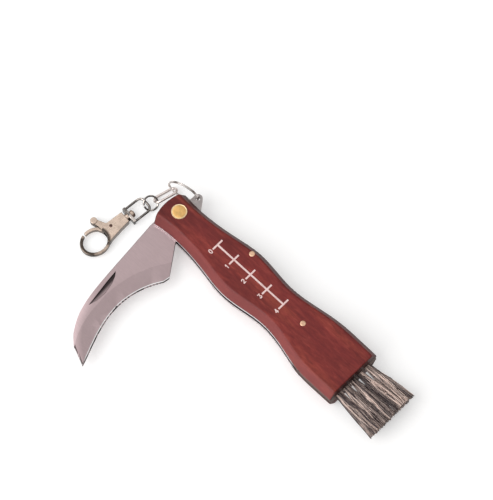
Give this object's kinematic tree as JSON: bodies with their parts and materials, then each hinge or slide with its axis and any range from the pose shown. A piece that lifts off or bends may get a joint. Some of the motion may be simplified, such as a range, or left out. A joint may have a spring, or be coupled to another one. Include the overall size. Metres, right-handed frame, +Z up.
{
  "type": "mushroom knife",
  "caption": "Folding mushroom knife with a curved blade, wooden handle with a centimetre ruler, a bristle brush at the end and a trigger snap hung by a short chain.",
  "frame": {"origin": "where the blade's pivot axis meets the plane that the knife lies on", "axes": "+X along the handle from the pivot to the brush, +Y to the spring side of the handle, +Z up, out of the front scale"},
  "size_m": [0.1602, 0.0931, 0.0155],
  "materials": {
    "handle_wood": "oiled red-brown hardwood, satin",
    "liner_steel": "brushed",
    "blade_steel": "satin ground",
    "pin_brass": "polished, slightly dulled",
    "washer_bronze": "plain",
    "ruler_ink": "printed, matte",
    "block_wood": "plain",
    "bristle": "coarse, mixed light and dark",
    "chain_nickel": "nickel plated",
    "snap_nickel": "nickel plated, cast"
  },
  "bodies": {
    "handle": {"front_scale": "handle_wood", "back_scale": "handle_wood", "front_liner": "liner_steel", "back_liner": "liner_steel", "back_spring": "liner_steel", "pivot_pin": "pin_brass", "pivot_washers": "washer_bronze", "middle_pin": "pin_brass", "rear_pin": "pin_brass", "brush_pin": "liner_steel", "ruler_inlay": "ruler_ink", "brush_block": "block_wood", "tuft_staples": "liner_steel", "bristle_tuft_1": "bristle", "bristle_tuft_2": "bristle", "bristle_tuft_3": "bristle", "bristle_tuft_4": "bristle", "bristle_tuft_5": "bristle"},
    "blade": {"blade": "blade_steel"},
    "ring": {"split_ring": "chain_nickel"},
    "link": {"oval_link": "chain_nickel"},
    "jump": {"jump_ring": "chain_nickel"},
    "bail": {"swivel_bail": "snap_nickel"},
    "snap": {"snap_hook": "snap_nickel", "swivel_stem": "snap_nickel", "trigger_rivet": "snap_nickel", "trigger_spring": "liner_steel"},
    "trigger": {"snap_trigger": "snap_nickel"}
  },
  "joints": [
    {"name": "blade_pivot", "type": "hinge", "parent": "handle", "child": "blade", "pos_m": [0, 0, 0.00725], "axis": [0, 0, 1], "range_deg": [-95.7, 71.9]},
    {"name": "ring_swing", "type": "hinge", "parent": "handle", "child": "ring", "pos_m": [-0.0002, 0.012, 0.00725], "axis": [0, 0, 1], "range_deg": [-180, 0]},
    {"name": "link_swing", "type": "hinge", "parent": "ring", "child": "link", "pos_m": [-0.0122, 0.00863, 0.00264], "axis": [-0.6807, -0.1913, 0.7071], "range_deg": [-15, 5]},
    {"name": "jump_swing", "type": "hinge", "parent": "link", "child": "jump", "pos_m": [-0.01479, -0.00044, 0.002], "axis": [-0.755, 0.26, -0.6019], "range_deg": [-15, 4]},
    {"name": "bail_swing", "type": "hinge", "parent": "jump", "child": "bail", "pos_m": [-0.01692, -0.00355, 0.002], "axis": [0.9951, -0.0993, 0], "range_deg": [-8, 10]},
    {"name": "snap_swivel", "type": "hinge", "parent": "bail", "child": "snap", "pos_m": [-0.01799, -0.0143, 0.002], "axis": [-0.0993, -0.9951, 0], "continuous": true},
    {"name": "trigger_turn", "type": "hinge", "parent": "snap", "child": "trigger", "pos_m": [-0.01994, -0.02275, 0.002], "axis": [0, 0, 1], "range_deg": [0, 25], "stiffness_Nm_per_rad": 0.03, "springref_deg": -17.19}
  ]
}
